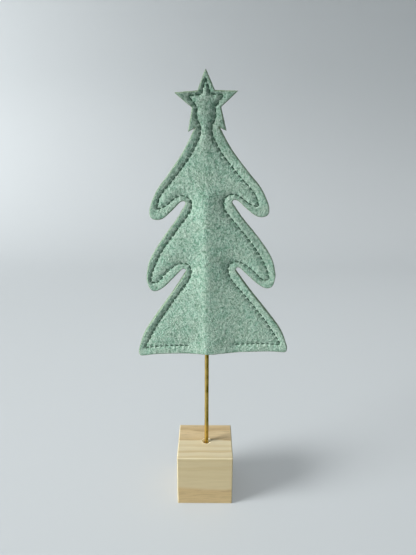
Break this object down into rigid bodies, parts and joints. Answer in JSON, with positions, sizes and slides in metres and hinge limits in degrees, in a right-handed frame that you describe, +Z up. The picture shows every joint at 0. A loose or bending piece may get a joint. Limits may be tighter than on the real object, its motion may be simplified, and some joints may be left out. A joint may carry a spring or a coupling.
{
  "type": "felt christmas tree",
  "caption": "Flat felt tree with drooping tiers and a star on top, stitched from two layers, slipped over a thin brass rod that stands in a wooden cube.",
  "frame": {"origin": "middle of the wooden block's underside, where it rests on the table", "axes": "+Z up along the rod, +X to the right and -Y out of the front when the tree is looked at"},
  "size_m": [0.1029, 0.04, 0.2978],
  "materials": {
    "softwood": "planed, unvarnished",
    "brass": "polished",
    "felt": "mottled wool felt",
    "thread": "matt sewing thread"
  },
  "bodies": {
    "block": {"base_block": "softwood"},
    "rod": {"brass_rod": "brass"},
    "tree": {"felt_front": "felt", "felt_back": "felt", "needle_thread": "thread", "bobbin_thread": "thread"}
  },
  "joints": [
    {"name": "rod_turn", "type": "hinge", "parent": "block", "child": "rod", "pos_m": [0.001, 0, 0.04], "axis": [0, 0, 1], "continuous": true},
    {"name": "tree_lift", "type": "slide", "parent": "rod", "child": "tree", "axis": [0, 0, 1], "range_m": [0, 0.112]}
  ]
}
